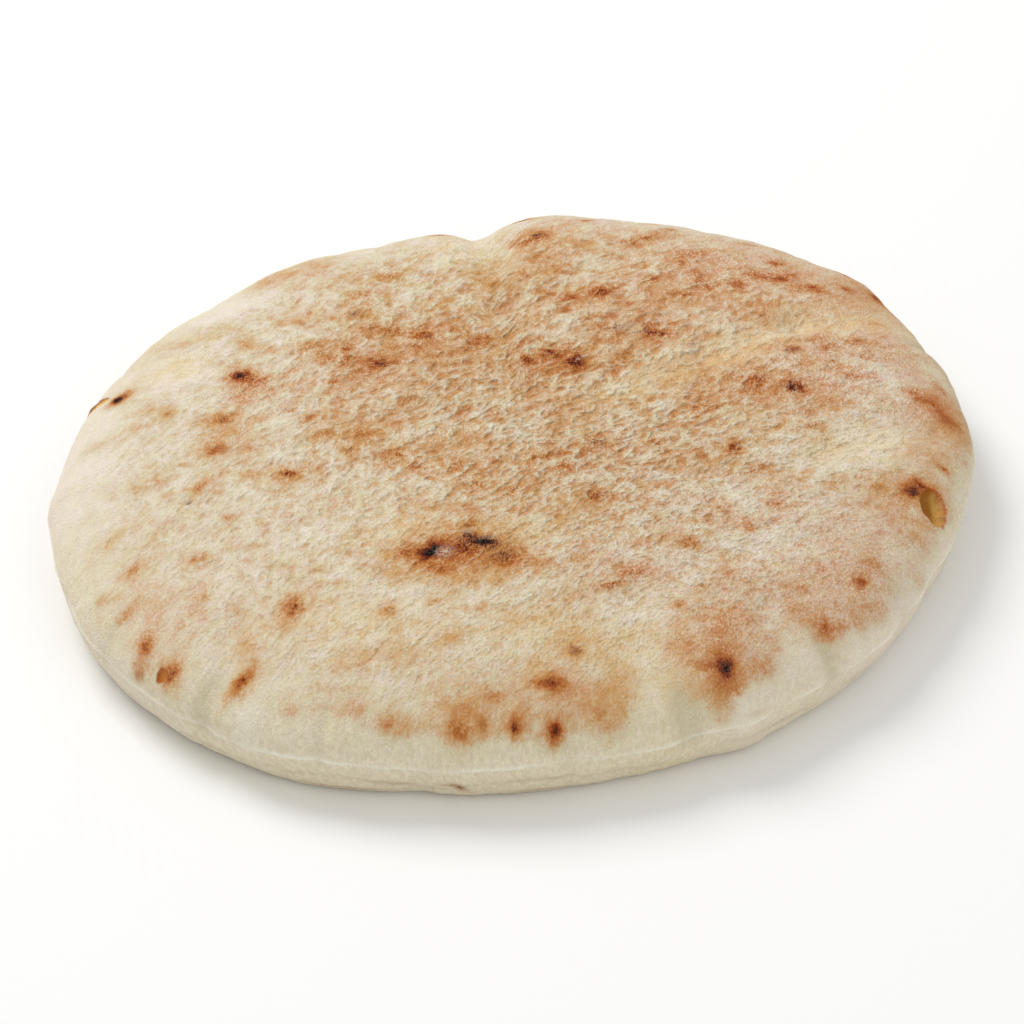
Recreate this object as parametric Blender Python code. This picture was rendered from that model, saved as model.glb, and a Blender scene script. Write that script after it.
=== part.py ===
"""A puffed round pita bread, one solid, in metres with +Z up.

The bread lies on its flat base, with the origin in the middle of the base's underside. Its
outline is a slightly oval ring with a few bulges and dents. Above the seam the top crust rises
in a cushion to the crown, with broad puffs and long shallow folds. Below the seam the rim tucks
under to the base. Two blisters in the shoulder have burst: each is a shallow pit.
"""
import math

import bmesh
import bpy
from mathutils import Matrix, Vector

# Driving sizes, in metres.
MEAN_RADIUS = 0.0952
CROWN_HEIGHT = 0.0255
SEAM_HEIGHT = 0.0105
RIM_TUCK = 0.0065
SHOULDER_POWER = 4.5

# The outline's slow swells: lobes round the rim, swell in metres, direction of a lobe in degrees.
RIM_SWELLS = (
    (1, 0.0011, -78.0),
    (2, 0.0058, 38.0),
    (3, 0.0007, 41.0),
    (4, 0.0012, 47.0),
)

# Local bulges (+) and dents (-) of the outline: direction and half-width in degrees, metres out.
RIM_BUMPS = (
    (96.5, 4.0, -0.0033),
    (85.0, 7.0, 0.0034),
    (125.0, 7.0, 0.0017),
    (141.0, 5.0, -0.0006),
    (29.0, 4.0, -0.0005),
    (40.0, 3.5, 0.0018),
    (4.0, 8.0, 0.0013),
    (-24.0, 7.0, -0.0008),
    (-60.0, 4.0, 0.0014),
    (-102.0, 3.0, -0.0011),
    (-117.0, 9.0, 0.0007),
    (-172.0, 4.0, 0.0011),
)

# Broad puffs of the top crust: middle (x, y), radius and height in metres.
PUFFS = (
    (0.036, 0.074, 0.030, 0.0015),
    (-0.022, 0.080, 0.013, 0.0007),
    (0.080, 0.018, 0.020, 0.0008),
    (-0.005, -0.082, 0.022, 0.0007),
    (0.040, -0.071, 0.013, 0.0011),
    (0.066, -0.050, 0.013, 0.0007),
    (-0.068, -0.064, 0.014, 0.0007),
    (-0.005, -0.043, 0.016, 0.0004),
)

# Shallow folds pressed into the top: start (x, y), end (x, y), half-width and depth in metres.
FOLDS = (
    (-0.010, 0.092, -0.004, 0.062, 0.0060, 0.0024),
    (0.040, 0.024, 0.060, 0.037, 0.0030, 0.0010),
    (0.060, 0.037, 0.090, 0.046, 0.0040, 0.0015),
    (0.058, -0.014, 0.088, 0.003, 0.0045, 0.0013),
    (0.018, 0.010, 0.046, 0.024, 0.0035, 0.0008),
    (-0.002, 0.040, 0.024, 0.062, 0.0040, 0.0009),
    (0.034, -0.048, 0.062, -0.038, 0.0030, 0.0007),
    (0.023, -0.058, 0.030, -0.090, 0.0055, 0.0016),
    (0.050, -0.060, 0.062, -0.076, 0.0040, 0.0016),
    (-0.054, -0.066, -0.064, -0.084, 0.0045, 0.0011),
    (-0.076, 0.060, -0.050, 0.044, 0.0060, 0.0012),
)

# Burst blisters: middle (x, y), direction of the tear in degrees, then the half-length,
# half-width and depth of the pit in metres.
BURSTS = {
    "right_burst": (0.0852, -0.0205, 96.0, 0.0046, 0.0034, 0.0034),
    "left_burst": (-0.0885, 0.0150, 22.0, 0.0044, 0.0015, 0.0026),
}

# Fineness of the facets.
RIM_POINTS = 120
TOP_RINGS = 26
TOP_RING_CROWDING = 1.8
TUCK_RINGS = 6
PIT_SEGMENTS = 20
PIT_RINGS = 10
SLOPE_STEP = 0.0005

CRUST_COLOUR = (0.80, 0.66, 0.45, 1.0)
CRUST_ROUGHNESS = 0.75


def clear_scene():
    for old in list(bpy.data.objects):
        bpy.data.objects.remove(old, do_unlink=True)


def rim_radius(angle):
    """Distance from the middle to the seam in the direction of angle, in radians."""
    radius = MEAN_RADIUS
    for lobes, swell, direction in RIM_SWELLS:
        radius += swell * math.cos(lobes * (angle - math.radians(direction)))
    for direction, half_width, out in RIM_BUMPS:
        turn = (math.degrees(angle) - direction + 180.0) % 360.0 - 180.0
        radius += out * math.exp(-((turn / half_width) ** 2))
    return radius


def distance_to_fold(x, y, start_x, start_y, end_x, end_y):
    along_x = end_x - start_x
    along_y = end_y - start_y
    length_squared = along_x ** 2 + along_y ** 2
    part = ((x - start_x) * along_x + (y - start_y) * along_y) / length_squared
    part = min(max(part, 0.0), 1.0)
    return math.hypot(x - start_x - part * along_x, y - start_y - part * along_y)


def crown_height(x, y):
    """Height of the top crust before it rolls down to the seam."""
    height = CROWN_HEIGHT
    for middle_x, middle_y, radius, rise in PUFFS:
        height += rise * math.exp(-((x - middle_x) ** 2 + (y - middle_y) ** 2) / radius ** 2)
    for start_x, start_y, end_x, end_y, half_width, depth in FOLDS:
        away = distance_to_fold(x, y, start_x, start_y, end_x, end_y)
        height -= depth * math.exp(-((away / half_width) ** 2))
    return height


def top_height(x, y):
    """Height of the top crust, cushion-shaped from the crown down to the seam."""
    outwards = min(math.hypot(x, y) / rim_radius(math.atan2(y, x)), 1.0)
    shoulder = math.sqrt(1.0 - outwards ** SHOULDER_POWER)
    return SEAM_HEIGHT + (crown_height(x, y) - SEAM_HEIGHT) * shoulder


def top_normal(x, y):
    slope_x = (top_height(x + SLOPE_STEP, y) - top_height(x - SLOPE_STEP, y)) / (2.0 * SLOPE_STEP)
    slope_y = (top_height(x, y + SLOPE_STEP) - top_height(x, y - SLOPE_STEP)) / (2.0 * SLOPE_STEP)
    return Vector((-slope_x, -slope_y, 1.0)).normalized()


def top_ring(step, angles):
    """One ring of points on the top crust; the last ring is the seam."""
    outwards = 1.0 - (1.0 - step / TOP_RINGS) ** TOP_RING_CROWDING
    points = []
    for angle in angles:
        x = outwards * rim_radius(angle) * math.cos(angle)
        y = outwards * rim_radius(angle) * math.sin(angle)
        points.append((x, y, top_height(x, y)))
    return points


def tuck_ring(step, angles):
    """One ring of points below the seam; the last ring is the edge of the flat base."""
    turn = 0.5 * math.pi * step / TUCK_RINGS
    points = []
    for angle in angles:
        radius = rim_radius(angle) - RIM_TUCK * (1.0 - math.cos(turn))
        height = SEAM_HEIGHT * (1.0 - math.sin(turn))
        points.append((radius * math.cos(angle), radius * math.sin(angle), height))
    return points


def join_rings(mesh, upper, lower):
    for index in range(RIM_POINTS):
        following = (index + 1) % RIM_POINTS
        mesh.faces.new((upper[index], lower[index], lower[following], upper[following]))


def bread_mesh():
    angles = [2.0 * math.pi * index / RIM_POINTS for index in range(RIM_POINTS)]
    rings = [top_ring(step, angles) for step in range(1, TOP_RINGS + 1)]
    rings += [tuck_ring(step, angles) for step in range(1, TUCK_RINGS + 1)]
    mesh = bmesh.new()
    middle = mesh.verts.new((0.0, 0.0, top_height(0.0, 0.0)))
    circles = [[mesh.verts.new(point) for point in ring] for ring in rings]
    for index in range(RIM_POINTS):
        mesh.faces.new((middle, circles[0][index], circles[0][(index + 1) % RIM_POINTS]))
    for upper, lower in zip(circles, circles[1:]):
        join_rings(mesh, upper, lower)
    mesh.faces.new(list(reversed(circles[-1])))
    return mesh


def crust_material():
    material = bpy.data.materials.new("crust")
    material.use_nodes = True
    surface = material.node_tree.nodes["Principled BSDF"]
    surface.inputs["Base Color"].default_value = CRUST_COLOUR
    surface.inputs["Roughness"].default_value = CRUST_ROUGHNESS
    surface.inputs["Metallic"].default_value = 0.0
    return material


def add_object(name, mesh):
    data = bpy.data.meshes.new(name)
    mesh.to_mesh(data)
    mesh.free()
    data.shade_smooth()
    piece = bpy.data.objects.new(name, data)
    bpy.context.scene.collection.objects.link(piece)
    return piece


def add_burst_cutter(name, middle_x, middle_y, direction, half_length, half_width, depth):
    """An ellipsoid set square to the crust, half sunk into it, along the tear's direction."""
    upright = top_normal(middle_x, middle_y)
    heading = Vector((math.cos(math.radians(direction)), math.sin(math.radians(direction)), 0.0))
    along = (heading - heading.dot(upright) * upright).normalized()
    across = upright.cross(along)
    turn = Matrix((along, across, upright)).transposed().to_4x4()
    place = Matrix.Translation((middle_x, middle_y, top_height(middle_x, middle_y)))
    sizes = Matrix.Diagonal((half_length, half_width, depth, 1.0))
    mesh = bmesh.new()
    bmesh.ops.create_uvsphere(mesh, u_segments=PIT_SEGMENTS, v_segments=PIT_RINGS, radius=1.0,
                              matrix=place @ turn @ sizes)
    cutter = add_object(name, mesh)
    cutter.hide_render = True
    cutter.display_type = "WIRE"
    return cutter


def cut_burst(bread, cutter):
    cut = bread.modifiers.new(cutter.name, "BOOLEAN")
    cut.operation = "DIFFERENCE"
    cut.object = cutter


def build_bread():
    bread = add_object("bread", bread_mesh())
    bread.data.materials.append(crust_material())
    for name, sizes in BURSTS.items():
        cut_burst(bread, add_burst_cutter(name, *sizes))


clear_scene()
build_bread()
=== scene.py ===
"""The looks of a puffed pita bread: one fine crust mesh over the plain CAD solid.

Lists of places are in millimetres, seen from above with +X right and +Y away from the camera;
everything that reaches Blender is in metres.
"""

import math
from functools import partialmethod

import bmesh
import bpy
import numpy as np
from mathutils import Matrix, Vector, noise


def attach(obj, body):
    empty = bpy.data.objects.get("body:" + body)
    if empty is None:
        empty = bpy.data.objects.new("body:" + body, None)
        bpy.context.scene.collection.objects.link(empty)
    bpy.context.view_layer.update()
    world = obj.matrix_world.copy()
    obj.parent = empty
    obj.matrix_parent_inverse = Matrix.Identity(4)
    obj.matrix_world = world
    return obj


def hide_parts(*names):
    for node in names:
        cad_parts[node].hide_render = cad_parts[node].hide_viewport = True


MM = 0.001

# The bread's shape, as in the CAD part.
MEAN_RADIUS = 95.2
CROWN_HEIGHT = 25.5
SEAM_HEIGHT = 10.5
RIM_TUCK = 6.5
SHOULDER_POWER = 4.5
RIM_SWELLS = ((1, 1.1, -78.0), (2, 5.8, 38.0), (3, 0.7, 41.0), (4, 1.2, 47.0))
RIM_BUMPS = (
    (96.5, 4.0, -3.3), (85.0, 7.0, 3.4), (125.0, 7.0, 1.7), (141.0, 5.0, -0.6),
    (29.0, 4.0, -0.5), (40.0, 3.5, 1.8), (4.0, 8.0, 1.3), (-24.0, 7.0, -0.8),
    (-60.0, 4.0, 1.4), (-102.0, 3.0, -1.1), (-117.0, 9.0, 0.7), (-172.0, 4.0, 1.1),
)
PUFFS = (
    (36, 74, 30, 1.5), (-22, 80, 13, 0.7), (80, 18, 20, 0.8), (-5, -82, 22, 0.7),
    (40, -71, 13, 1.1), (66, -50, 13, 0.7), (-68, -64, 14, 0.7), (-5, -43, 16, 0.4),
)
FOLDS = (
    (-10, 92, -4, 62, 6.0, 2.4), (40, 24, 60, 37, 3.0, 1.0), (60, 37, 90, 46, 4.0, 1.5),
    (58, -14, 88, 3, 4.5, 1.3), (18, 10, 46, 24, 3.5, 0.8), (-2, 40, 24, 62, 4.0, 0.9),
    (34, -48, 62, -38, 3.0, 0.7), (23, -58, 30, -90, 5.5, 1.6), (50, -60, 62, -76, 4.0, 1.6),
    (-54, -66, -64, -84, 4.5, 1.1), (-76, 60, -50, 44, 6.0, 1.2),
)

# Upright dents in the shoulder and rim: direction in degrees, half-width and depth.
RIM_DENTS = (
    (-127.0, 2.6, 1.2), (-121.0, 2.2, -0.5), (-68.5, 3.4, 1.2), (-62.0, 2.6, -0.5),
    (-47.0, 2.4, 1.0), (-42.5, 2.4, -0.4), (-112.5, 1.6, 0.5), (-84.0, 3.0, 0.4),
    (-143.0, 2.6, 0.5), (-31.0, 3.0, 0.5), (160.0, 3.0, 0.5), (112.0, 3.0, 0.6),
    (62.0, 3.0, 0.5), (24.0, 2.6, 0.7),
)

# Small brown folds low on the rim: direction in degrees, how far past the seam, half-sizes
# along and across, darkness, and a turn in degrees where it isn't 0.
RIM_FLECKS = (
    (-96.6, 5.8, 2.0, 0.8, 1.2, 40), (-110.0, 8.6, 9.0, 0.4, 0.8), (-87.0, 8.6, 6.0, 0.4, 0.7),
    (-104.5, 5.4, 3.2, 0.5, 0.45, 4), (-98.0, 4.9, 2.2, 0.5, 0.5), (-136.5, -2.5, 1.3, 0.9, 0.7),
    (-60.0, -1.8, 3.0, 0.5, 0.3, 8), (58.0, 2.0, 5.0, 1.0, 0.5), (104.0, 1.0, 3.0, 1.0, 0.5),
    (140.0, 2.0, 4.0, 0.8, 0.4),
)

# Fineness of the crust mesh: rings over the top and rim and on the flat base, how far it is split
# round each burst, and how far in from the rim's foot the base's first ring and grid start.
CRUST_RINGS = 140
REFINED_REACHES = (8.0, 5.5)
BASE_RINGS = 35
BASE_RING_SHARES = (0.988, 0.965)
PROFILE_STEPS = 4000
EDGE_STEP = 0.02

# Keeps the noise on the base apart from the noise on the skin over it.
BASE_NOISE_SHIFT = 300.0

# Toast zones. Each place here and below gives its middle x and y, its half-sizes along and
# across, its strength, and a turn in degrees where it isn't 0.
TOAST_ZONES = (
    (-74, -61, 16, 9, 0.03, -52), (-71, 18, 10, 10, -0.18), (11, 86, 16, 7, -0.10),
    (-28, 80, 12, 8, -0.16), (51, 70, 11, 7, 0.05), (41, -72, 10, 14, 0.26),
    (-68, -12, 14, 16, -0.08), (12, -18, 42, 34, 0.12, 20), (-6, -46, 14, 9, 0.32, 10),
    (2, -41, 7, 6, -0.26), (2, 54, 13, 12, 0.32), (20, 40, 12, 10, 0.12), (6, 52, 12, 4, -0.08, 35),
    (60, 38, 14, 12, 0.18), (68, 39, 22, 5, -0.26, 24), (52, 14, 20, 14, 0.25),
    (-4, -87, 17, 8, 0.18), (16, -82, 11, 8, 0.06), (48, -38, 14, 10, 0.06),
    (45, -41, 14, 5, -0.20, 20), (78, 50, 11, 13, 0.26), (73, 41, 9, 10, 0.22),
    (80, -23, 11, 10, 0.26), (-20, -42, 10, 7, 0.10), (-25, 25, 25, 16, 0.26), (-22, 12, 11, 7, 0.10),
    (10, 20, 25, 18, 0.25), (22, 1, 14, 6, -0.10, 10), (42, 48, 25, 13, 0.24, 30),
    (30, 43, 9, 7, 0.16), (-3, -14, 16, 9, 0.04), (-60, -7, 9, 6, 0.18, 20), (-33, 0, 13, 9, 0.14),
    (-48, 2, 9, 8, -0.10), (-48, 27, 12, 9, -0.22), (61, -54, 11, 10, 0.15), (88, 8, 7, 13, 0.40),
    (84, 14, 6, 6, -0.22), (84, 1, 6, 6, 0.12), (24, 68, 26, 12, 0.12, -10), (-52, 62, 9, 9, 0.16),
    (-93, 0, 9, 50, -0.26), (-66, 54, 12, 13, -0.40, -40), (-38, -40, 18, 12, -0.06, 10),
    (72, -5, 15, 5, -0.24, 24), (21, -67, 7, 8, -0.06), (28, -81, 4, 10, -0.20, 15),
    (-11, 72, 7, 11, -0.22), (57, -69, 5, 9, -0.12, -35), (-60, -77, 5, 7, -0.26, 20),
    (24, 12, 10, 4, -0.10, 28), (28, -43, 7, 6, 0.08), (-23, -58, 13, 8, -0.12),
    (28, -56, 7, 6, -0.07), (-28, -84, 8, 5, -0.10), (14, -71, 7, 6, 0.09), (68, -41, 8, 9, 0.11),
    (58, 0, 9, 7, 0.08), (85, 27, 6, 7, 0.10),
)
TOAST_BASE = 0.27

# Where the toast reaches farther down the shoulder: direction, half-width in degrees, how far.
TOAST_EDGES = (
    (-140.0, 18.0, 5.0), (-92.0, 22.0, 3.0), (-56.0, 8.0, -3.0), (-72.0, 5.0, -4.0), (-64.0, 3.0, 3.0),
    (-118.0, 8.0, -2.5), (22.0, 18.0, 5.0), (100.0, 40.0, 4.0), (180.0, 26.0, 4.0),
    (-162.0, 14.0, 3.0),
)

# Browned spots, the same way: 0.2 is a light tan, 1 is char.
SPOTS = (
    (-58.8, 16.2, 1.6, 1.2, 1.0), (-56, 15, 4.5, 2.6, 0.5, -40), (-57, 8, 3, 3, 0.28),
    (-84.8, 14.9, 1.6, 1.5, 1.0, 10), (-83.4, 16.4, 2.2, 2.2, 0.34, 40), (-85, 12.6, 2, 1.2, 0.3),
    (-72, 32.5, 2.2, 1.6, 0.30), (-66, 36, 5, 3, 0.16, 30), (-58, 29.5, 1.8, 2.6, 0.35),
    (-52, 26, 1.9, 1.5, 0.40), (-51.3, 36.7, 1.2, 1.2, 0.3), (-47.5, 37, 1.5, 1.5, 0.40),
    (-53.5, 40.5, 1, 0.8, 0.25), (-44, 26, 3, 2.4, 0.42), (-35, 38.5, 2, 1.6, 0.50),
    (-34.5, 47.5, 2, 2, 0.35), (-28, 56, 2.5, 1.8, 0.38), (-32, 53, 1.5, 1.2, 0.28),
    (-27, 62, 1.2, 1, 0.3), (-8, 59, 1.1, 0.9, 0.40), (-5, 51, 1, 1, 0.35), (-31, 33, 2, 1.8, 0.45),
    (-26, 32.5, 2.2, 1.8, 0.35), (-20, 30, 2.4, 3, 0.42), (-28.5, 20, 2.2, 2, 0.62),
    (-36.5, 25.5, 1.6, 1.3, 0.40), (-7, 28, 2.6, 2, 0.35), (-73, 4.5, 1.4, 2.2, 0.42),
    (-77, 7, 1, 1.5, 0.25), (-80, 1, 2.2, 1.5, 0.25), (-88, -2, 2.5, 1.5, 0.25),
    (-61.5, 0, 2.8, 2, 0.50), (-57, 58, 4, 3, 0.22), (-17.5, 80, 3.2, 1.5, 0.60, -10),
    (5, 72.5, 2.2, 2.2, 0.62), (2, 70, 2, 1.3, 0.40), (2, 86, 2.2, 1.2, 0.80),
    (28.5, 71, 2.6, 1.5, 0.50, 20), (25, 69, 1.2, 0.8, 0.45), (35, 78, 1.1, 0.8, 0.5),
    (16, 82.5, 1.2, 0.8, 0.45), (18.5, 46.5, 2.5, 1.8, 0.55, 10), (12, 45, 1.6, 1.2, 0.35),
    (37, 59, 1.3, 1.1, 0.45), (30, 30.5, 3.2, 1.5, 0.60), (22, 32.5, 2.6, 1.8, 0.48),
    (16, 29, 1.6, 1.2, 0.3), (12.5, 20.5, 2, 2, 0.78), (7.5, 23, 1.8, 1.5, 0.60),
    (2.5, 21, 1.6, 1.3, 0.50), (22, 22, 2.6, 2.2, 0.38), (22, 27, 2, 1.6, 0.35),
    (31, 19, 1.6, 1.3, 0.32), (58.3, 11.8, 2.1, 1.7, 0.85), (51, 13.5, 1.5, 1.3, 0.45),
    (72, 17, 2, 0.8, 0.40), (64, 30.5, 1.9, 1.3, 0.42), (58.5, 25.5, 1.8, 1.8, 0.52),
    (68, 28, 1.6, 1.3, 0.32), (73, 31.5, 1.8, 1, 0.40), (54, 39.5, 1.8, 1.6, 0.35),
    (54, 43, 1.8, 1.4, 0.35), (79, 43, 1.2, 1, 0.42), (58, 63, 1.4, 1.2, 0.5),
    (58.5, 55.5, 1.4, 1.1, 0.60), (54, 56, 3, 1.6, 0.38), (65, 53.5, 2.2, 1, 0.50, 20),
    (49, 51, 1.5, 1.3, 0.4), (73, 56, 1.6, 1.2, 0.42), (80, 58, 2.2, 1.5, 0.60, -60),
    (73.4, 67.4, 2, 1, 0.6, -50), (87, 12.5, 3.4, 2.6, 0.38), (92.5, 7.5, 2.5, 2, 0.36),
    (91, 20.5, 1.8, 0.8, 0.32, -50), (53, 73, 2.2, 0.8, 0.38), (-62, -11, 2.6, 1.8, 0.50, 25),
    (-68.5, -15, 1.6, 0.8, 0.34, -10), (-73, -19.5, 1.5, 0.9, 0.34, -20),
    (-64, -23, 1.4, 3.2, 0.45, -20), (-61, -25, 1.3, 1.2, 0.36), (-54, -20, 1.5, 1.3, 0.30),
    (-47, -20, 2, 1.6, 0.64), (-34, -12, 1.5, 1.6, 0.55), (-39, -6.5, 1.8, 1.5, 0.38),
    (-24.5, -13, 3, 2, 0.42), (-21, -17, 1.6, 1.3, 0.40), (-11, -17.5, 1.6, 1.8, 0.40),
    (-8, -24, 2, 1.5, 0.30), (-58, -33, 1.5, 1, 0.32, -40), (-63.5, -45.5, 1.4, 1.1, 0.40),
    (-76.4, -46.2, 1.5, 1.2, 0.38, 30), (-82, -51, 1.7, 1.3, 0.30, 30),
    (-76.8, -56.8, 1.9, 0.9, 0.42, 50), (-39, -51, 1.4, 0.8, 0.30), (-43.5, -62, 2, 3, 0.58, -25),
    (-24.5, -63.5, 1.7, 1.5, 0.52), (-23.5, -68.5, 0.8, 0.8, 0.30), (-24, -75, 2, 3, 0.26),
    (-33, -77, 2.2, 1.6, 0.20, 30), (-16.5, -61, 1.2, 0.8, 0.28), (-6.5, -68.5, 1.8, 0.6, 0.22, 5),
    (-72, -65.5, 1.6, 2.4, 0.54, -20), (-67.0, -72.8, 2.0, 2.0, 0.62), (-53, -78, 2.6, 1.3, 0.60, 50),
    (-74.8, -71, 1.2, 0.9, 0.58), (-55, -61, 1, 0.8, 0.28), (-17.1, -45.4, 1.1, 2.1, 1.2, -35),
    (-6.8, -42.9, 2.3, 1.4, 1.05), (-9.5, -41, 1, 1.3, 0.80), (-12, -45, 8, 4.2, 0.50, 20),
    (-2, -46, 4, 3, 0.4), (-22, -46, 1.6, 1.3, 0.45), (-9, -37.5, 1.6, 1.8, 0.42),
    (-2.5, -48.5, 2.2, 2.2, 0.46), (-14, -52, 2.2, 1.5, 0.34), (-11, -91, 2.4, 1.8, 0.42),
    (-6.3, -90, 1, 1.2, 0.42), (-0.4, -90.3, 1.3, 1.5, 0.68), (7.3, -90.2, 1.2, 1.7, 0.78),
    (-9.5, -87, 2, 1.6, 0.30), (-4, -85, 1.6, 1.4, 0.28), (-20, -90, 4, 1.2, 0.28),
    (-34, -85, 7, 3, 0.15), (-44, -85.5, 1.5, 1.5, 0.30), (16, -9.5, 1.8, 1.8, 0.62),
    (7, -4.5, 1.6, 1.2, 0.34), (22, -3, 1.5, 1.1, 0.3), (28.5, -10, 1.4, 2, 0.42, -30),
    (44.5, -10.5, 1.6, 2, 0.55), (61.5, -2, 1.4, 1.2, 0.34), (64, -4.5, 1.6, 1.2, 0.30),
    (15.5, -27.5, 2.1, 1.5, 0.58), (10, -18, 1.6, 1.3, 0.38), (34.5, -42.5, 2.2, 1.2, 0.52),
    (23, -51.5, 4, 1.3, 0.42, 15), (18.5, -55, 2.6, 0.7, 0.50, 15), (14, -48.5, 2, 1, 0.25, 10),
    (10, -60, 1.6, 1, 0.28, 15), (43, -50, 1.5, 1.1, 0.28, 10), (47, -37.5, 1.5, 1.3, 0.36),
    (52, -28.5, 1.4, 1.2, 0.38), (53, -24, 1, 3, 0.32), (41, -32.5, 2, 1.2, 0.22),
    (81.2, -18.8, 2.6, 1.8, 0.74, 25), (83.6, -16.0, 2.4, 1.1, 0.62, -15),
    (89, -8.5, 1.5, 0.7, 0.50, -30), (68.5, -48.4, 1.4, 1.6, 0.52), (71, -42.5, 1.6, 1.4, 0.34),
    (60.5, -61, 2.4, 2.2, 0.46), (56.5, -53.5, 1.2, 1, 0.30), (36, -56.5, 1.8, 1.2, 0.30),
    (32, -61, 1.4, 1.1, 0.34), (44.5, -63, 2.2, 1.4, 0.28, 30), (40.4, -75, 1.5, 1.9, 0.9),
    (40, -76.5, 4.2, 5.2, 0.30), (36.5, -75, 2.4, 0.8, 0.42), (38.6, -80.5, 2, 2.6, 0.3),
    (40, -66, 1.4, 4, 0.24), (11.5, -73.8, 1.4, 1.4, 0.58), (6.6, -81.4, 3.0, 1.7, 0.54),
    (4, -77, 1.4, 1, 0.30), (22, -78, 3, 1.8, 0.22), (17, -85, 4.5, 3, 0.22),
    (14.5, -63.5, 1.5, 1, 0.22, 20), (48.5, -17.5, 2.4, 1.6, 0.32), (74, -20, 1.2, 1.2, 0.34),
    (82, -41, 2, 2.4, 0.26), (70.5, -53, 3, 2.5, 0.2), (54.3, -58.5, 1.8, 1.4, 0.24),
    (48.5, -73.5, 1.3, 1.2, 0.34), (32, -70, 3, 2.4, 0.22), (36, -15, 3, 2, 0.28),
    (4.5, -14.5, 2.2, 1.1, 0.36, 30), (-0.7, -25.3, 2.2, 1.6, 0.40, 20), (-32, -6.5, 2.2, 1.5, 0.42),
    (12.5, -13.5, 3, 1.2, 0.28), (31.7, -13, 1.8, 1.5, 0.3), (-4, -56.5, 1.3, 1, 0.26),
    (-7.5, -62.5, 1.6, 0.8, 0.22), (2, -66, 3, 1, 0.2, 15), (12.8, -70.5, 1.9, 1, 0.26),
    (-12, -71.5, 1.6, 1.3, 0.2), (-19.5, -67, 0.9, 1.2, 0.26), (-38, 21, 5, 2, 0.34, -10),
    (-38.5, 13, 2, 1.2, 0.34), (-44, -0.5, 3, 1.5, 0.24), (-47, 4, 1.5, 1.5, 0.22),
    (-62.5, 11.5, 3, 2, 0.24), (-56, 0, 3, 2, 0.24), (-66.5, 8.5, 1, 1.2, 0.22),
    (-82, -2, 1.6, 1.2, 0.22), (-75.3, -14, 0.5, 0.5, 0.4), (-67.3, -23.5, 0.6, 0.6, 0.45),
    (-70, -24.5, 0.7, 0.7, 0.35), (-77.5, -21, 1.3, 0.8, 0.26), (-54, -43, 2.2, 1, 0.22),
    (-51, -43, 1, 0.8, 0.25), (-51, -36, 1, 0.9, 0.25), (-81, -35, 2, 1.2, 0.24, 50),
    (-62.5, -57.5, 1.6, 3, 0.24), (-37, -55, 3, 1, 0.22, 10), (-30, -50.5, 1.5, 1, 0.22),
    (-36, -60, 1, 1, 0.2), (-74, -69.5, 1.2, 1.6, 0.34), (-66, -77, 4, 1.5, 0.24),
    (-68, -80.5, 0.9, 0.7, 0.3), (-57.5, -82.5, 3.5, 1.6, 0.26, 40), (-52, -70, 2, 3, 0.2),
    (-29, -75.5, 1.9, 1.1, 0.26, 45), (-30.5, -87, 1.6, 1.3, 0.3), (-32.5, -82, 0.8, 0.8, 0.2),
    (-37, -82, 1, 0.7, 0.2), (-25, -89, 2, 1.5, 0.3), (17.5, -88.5, 3, 2, 0.26), (19, -81, 3, 3, 0.2),
    (40, 3.5, 2.6, 1.4, 0.30, 10), (66.5, 8, 2.2, 1.6, 0.30), (50, 10, 2, 2, 0.22),
    (39.5, 17, 1, 2, 0.26), (45, 22, 2, 1.5, 0.24, 20), (28.5, 6, 1.3, 1, 0.3),
    (83.5, 14.5, 2, 1.6, 0.34), (90, 10, 2.5, 1.6, 0.30, -50), (67, 52, 1.8, 0.8, 0.4),
    (60, 58, 2.4, 1.6, 0.36), (41, 50.5, 3, 1.8, 0.34), (36.5, 45.5, 3, 1, 0.3, 10),
    (30.4, 52, 1.3, 1.3, 0.5), (40, 63, 3, 1.6, 0.3), (31.5, 74.5, 1.5, 1, 0.3), (27, 34, 3, 1, 0.4),
)

# White ash on the char.
ASH = ((-14.2, -46.0, 1.9, 1.7, 1.0), (-9.8, -39.6, 1.3, 0.8, 1.0), (-6.0, -42.0, 2.4, 0.4, 0.5, 5))

# Wrinkles: their direction through the middle, and how much it turns per millimetre to the right.
GRAIN_DIRECTION = 48.0
GRAIN_CURL = 0.0044

# Yellowish places, and rosy, floury ones.
YELLOW_ZONES = (
    (70, 40, 22, 6, 0.9, 24), (45, 24, 12, 5, 0.8, 30), (72, -6, 14, 6, 0.7, 24),
    (26, 12, 14, 6, 0.6, 30), (-12, 70, 9, 12, 0.6), (-72, 22, 7, 6, 0.7), (4, -70, 10, 7, 0.5),
    (22, -72, 8, 10, 0.5), (-30, -66, 16, 7, 0.4), (30, -82, 6, 8, 0.6), (-22, -38, 8, 5, 0.5, 20),
    (2, -40, 7, 5, 0.5, 20),
)
BLUSH_ZONES = (
    (48, 60, 26, 14, 0.9, 20), (62, 20, 22, 14, 0.8), (82, 8, 12, 16, 0.8), (-54, 58, 12, 10, 0.5),
    (50, -30, 26, 14, 0.6), (60, -52, 18, 14, 0.7), (40, -70, 12, 12, 0.7), (24, -50, 12, 8, 0.7, 10),
    (-56, 10, 14, 10, 0.6), (-30, 18, 16, 12, 0.4), (0, 0, 40, 26, 0.15), (30, 30, 26, 18, 0.3),
    (-68, -60, 16, 12, 0.6), (20, 84, 40, 12, 0.8), (76, 40, 16, 22, 0.7), (78, -40, 16, 18, 0.6),
    (-88, 30, 10, 14, 0.5), (-94, -8, 8, 30, 0.9), (-50, -36, 10, 8, 0.3),
)

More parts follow.
